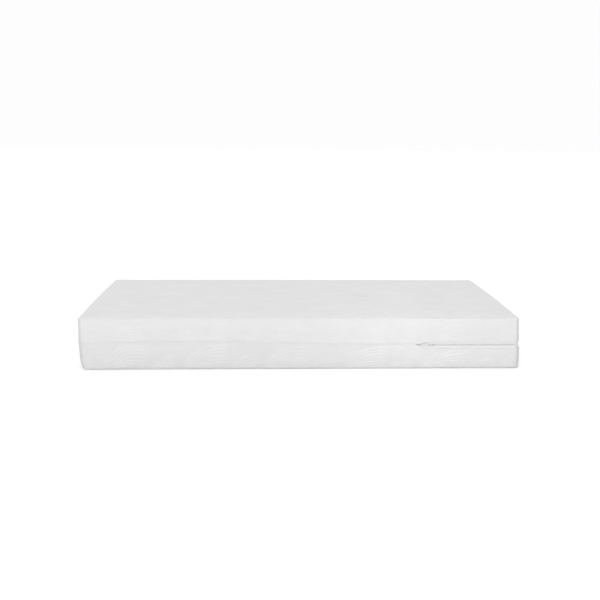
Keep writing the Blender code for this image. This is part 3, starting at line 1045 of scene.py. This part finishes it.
def foam_material(name, colour, cell, tint=0.05):
    """Cut open-cell foam: fine cells, a few larger voids with painted shade in them, and uneven
    yellowing.
    """
    n = Nodes(name, colour, 0.95, **{"Specular IOR Level": 0.2})
    spot = n.place()
    cells = n.cells(spot, 1.0 / cell)
    pits_relief_and_shade = n.ramp(n.cells(spot, 0.22 / cell), 0.05, 0.16, grey(0), grey(1))
    cloud = n.noise(spot, 6.0, 4.0, 0.6)
    dark = tuple(c * (1 - 2 * tint) for c in colour)
    light = tuple(min(c * (1 + tint), 1) for c in colour)
    # Painted shade darkens the colour in the larger voids.
    shade = n.times(cloud, n.plus(n.times(pits_relief_and_shade, 0.35), 0.65))
    n.link(n.ramp(shade, 0.2, 0.65, dark, light), "Base Color")
    n.roughness(cells, 0.1, 0.6, 0.99, 0.86)
    normal = n.bump(cells, 0.5, 0.0004)
    n.link(n.bump(pits_relief_and_shade, 0.5, 0.0008, normal), "Normal")
    return n.material


def glue_material(name):
    """Dried sprayed glue: a web of thicker threads in a thin yellowish film."""
    n = Nodes(name, (0.8, 0.77, 0.66), 0.5)
    web = n.cells(n.place(), 90.0, "DISTANCE_TO_EDGE")
    n.link(n.ramp(web, 0.02, 0.25, (0.7, 0.66, 0.5), (0.86, 0.84, 0.76)), "Base Color")
    n.roughness(web, 0.02, 0.25, 0.35, 0.7)
    n.link(n.bump(web, 0.6, 0.0005), "Normal")
    return n.material


def dress(thing, surface):
    thing.data.materials.clear()
    thing.data.materials.append(surface)


# ---- build everything

# The lower half's knit is the same knit made a little darker: painted shade on the lower half of the
# cover.
knit_top = knit_material("white jacquard knit, upper", 0.769)
knit_bottom_painted_shade = knit_material("white jacquard knit, lower", 0.758)
thread = nylon_material("white polyester thread", 0.82)
binding = woven_material("white seam binding", 0.8, 0.0012)
tape_cloth = woven_material("white zip tape", 0.84, 0.0009)
nylon = nylon_material("white nylon coil", 0.94)
enamel = enamel_material("white enamelled zinc")
stretch = woven_material("unbleached stretch liner", 0.76, 0.0016, (1.0, 0.97, 0.9))
satin = woven_material("plain satin label", 0.82, 0.0005)
memory = foam_material("memory foam", (0.8, 0.76, 0.62), 0.0012)
transition = foam_material("transition foam", (0.62, 0.71, 0.76), 0.0018)
support = foam_material("support foam", (0.8, 0.79, 0.75), 0.0022)
glue = glue_material("dried foam adhesive")


def finish_piece(thing, surface, slot, *nodes, body="mattress"):
    dress(thing, surface)
    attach(thing, body)
    if nodes:
        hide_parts(*nodes)
    return thing


cover_top = finish_piece(add_cover("cover_top", True), knit_top, "knit", "cover_top_half")
cover_bottom = finish_piece(add_cover("cover_bottom", False), knit_bottom_painted_shade, "knit", "cover_bottom_half")

seam_start = ZIP_START + 0.0045
binding_section = flat_section(TAPE_DEPTH + 0.0008, TAPE, WAIST - 0.006, WAIST + 0.006)
finish_piece(strip("waist_binding", seam_path(seam_start), binding_section),
             binding, "binding", "waist_seam_binding")
for level, low, high in (("upper", 0.145, TOP - EDGE - 0.002), ("lower", 0.014, 0.0848)):
    section = flat_section(SEAM_TAPE_DEPTH, SEAM_TAPE, low, high, 10)
    for end, side_x in (("left", -1), ("right", 1)):
        for side, side_y in (("front", -1), ("back", 1)):
            node = f"corner_seam_{level}_{side}_{end}"
            seam = strip(node + "_tape", corner_path(side_x, side_y)[4:9], section)
            finish_piece(seam, binding, "binding", node)

for level, sign in (("upper", 1), ("lower", -1)):
    tape = strip(f"{level}_zip_tape", zip_path(ZIP_START + 0.005, 0.012),
                 lambda x, s=sign: tape_section(s, x))
    finish_piece(tape, tape_cloth, "zip_tape", f"zip_tape_{level}")
    teeth = coil(f"{level}_zip_coil", sign, zip_path(STOP_X + 0.003, 0.01))
    finish_piece(teeth, nylon, "zip_coil", f"zip_coil_{level}")

for node in ("zip_slider", "zip_pull_tab", "zip_stop_front", "zip_stop_back"):
    dress(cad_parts[node], enamel)

WHOLE_PATH = zip_path(ZIP_START + 0.004, 0.01) + seam_path(ZIP_START)[1:]


def stitch_height(x, sign):
    return WAIST + sign * (float(half_opening(x, sign > 0)) + STITCH_RISE)


for cover, sign, name in ((cover_top, 1, "top"), (cover_bottom, -1, "bottom")):
    row = stitches(name + "_rim_stitches", cover, WHOLE_PATH, lambda x, s=sign: stitch_height(x, s))
    finish_piece(row, thread, "binding")

liner = finish_piece(liner_sock("liner_sock"), stretch, "liner", "inner_liner")
slot_path = [(HALF_X, y, 1.0, 0.0) for y in np.linspace(-0.413, 0.413, 30)]
slot_section = flat_section(SEAM_TAPE_DEPTH, SEAM_TAPE, SLOT_Z - 0.003, SLOT_Z + 0.0045)
finish_piece(strip("liner_seam", slot_path, slot_section), binding, "binding", "liner_closing_seam")

FOAM_CAP = LINER_TOP_DEPTH + LINER + GAP
FOAM = (LINER_DEPTH + LINER + GAP, VALLEY_DEPTH + LINER + GAP, FOAM_CAP)
LOWER_GLUE = LOWER_JOINT + GAP
UPPER_GLUE = UPPER_JOINT + GAP
LAYERS = (
    ("support_foam", FOAM_CAP, LOWER_JOINT, 0.0004, support, "support_foam", "support_foam_core"),
    ("lower_adhesive", LOWER_GLUE, LOWER_GLUE + GAP, 0.0, glue, "adhesive", "adhesive_film_lower"),
    ("transition_foam", LOWER_GLUE + 2 * GAP, UPPER_JOINT, 0.0004, transition, "transition_foam",
     "transition_foam_layer"),
    ("upper_adhesive", UPPER_GLUE, UPPER_GLUE + GAP, 0.0, glue, "adhesive", "adhesive_film_upper"),
    ("memory_foam", UPPER_GLUE + 2 * GAP, TOP - FOAM_CAP, 0.0003, memory, "memory_foam",
     "memory_foam_layer"),
)
for name, low, high, wobble, surface, slot, node in LAYERS:
    layer = finish_piece(block(name, low, high, *FOAM, wobble), surface, slot, node)

tag_section = flat_section(0.0075, 0.0004, WAIST - 0.018, WAIST + 0.004)
tag = strip("sewn_label", side_path(0.46, 0.4, 1, 0.006), tag_section)
finish_piece(tag, satin, "label", "care_label")


# ---- floor, light and camera

FLOOR_REACH = 30
floor_corners = [(x * FLOOR_REACH, y * FLOOR_REACH, 0) for x, y in ((-1, -1), (1, -1), (1, 1), (-1, 1))]
floor = mesh_object("floor", floor_corners, [(0, 1, 2, 3)], False)
glow = {"Specular IOR Level": 0.1, "Emission Color": (1, 1, 1, 1), "Emission Strength": 0.125}
ground = Nodes("pale studio floor", grey(0.93), 0.9, **glow)
dress(floor, ground.material)

scene = bpy.context.scene
scene.view_settings.view_transform = "Standard"
scene.view_settings.look = "None"
world = bpy.data.worlds.new("studio")
scene.world = world
world.use_nodes = True
sky = Tree(world.node_tree)
background = sky.tree.nodes["Background"]
background.inputs["Color"].default_value = (1, 1, 1, 1)

# Soft room light: a little more from above and behind, less from the two ends; white backdrop.
way = sky.add("ShaderNodeTexCoord").outputs["Generated"]
way = sky.add("ShaderNodeSeparateXYZ", {0: way}).outputs
overhead = sky.times(sky.math("POWER", sky.math("MAXIMUM", way["Z"], 0.0), 2.0), 1.25)
at_ends = sky.times(sky.math("ABSOLUTE", way["X"]), -0.19)
behind = sky.times(sky.math("MAXIMUM", way["Y"], 0.0), 0.2)
room = sky.plus(sky.plus(overhead, at_ends), sky.plus(behind, 0.2))
seen = sky.add("ShaderNodeLightPath").outputs["Is Camera Ray"]
room = sky.times(room, sky.math("SUBTRACT", 1.0, seen))
lit = sky.plus(room, sky.times(seen, 0.985))
sky.tree.links.new(lit, background.inputs["Strength"])


def add_light(light, toward):
    """Puts a light in the scene, shining from the direction toward."""
    holder = bpy.data.objects.new(light.name, light)
    scene.collection.objects.link(holder)
    holder.rotation_mode = "QUATERNION"
    holder.rotation_quaternion = toward.to_track_quat("Z", "Y")
    return holder


key = bpy.data.lights.new("key", "SUN")
key.energy = 0.38 * pi
key.angle = radians(24)
key_height = radians(36)
add_light(key, Vector((-0.22, -cos(key_height), sin(key_height))).normalized())

# A faint pool of light on the border, left of the zip's mouth.
pool = bpy.data.lights.new("pool", "SPOT")
pool.energy = 13.0
pool.spot_size = radians(22)
pool.spot_blend = 1.0
pool.shadow_soft_size = 0.25
pool_place = Vector((0.55, -2.45, 1.05))
add_light(pool, pool_place - Vector((0.44, -HALF_Y, 0.21))).location = pool_place

lens = bpy.data.cameras.new("camera")
lens.lens = 46.28
lens.sensor_width = 36.0
lens.clip_end = 100.0
camera = bpy.data.objects.new("camera", lens)
scene.collection.objects.link(camera)
camera.location = (-0.153, -3.806, 1.092)
yaw, pitch, roll = radians(2.43), radians(12.86), radians(0.52)
ahead = Vector((sin(yaw) * cos(pitch), cos(yaw) * cos(pitch), -sin(pitch)))
level_side = Vector((cos(yaw), -sin(yaw), 0))
level_up = level_side.cross(ahead)
camera_side = level_side * cos(roll) + level_up * sin(roll)
camera_up = level_up * cos(roll) - level_side * sin(roll)
camera.rotation_mode = "QUATERNION"
camera.rotation_quaternion = Matrix((camera_side, camera_up, -ahead)).transposed().to_quaternion()
scene.camera = camera
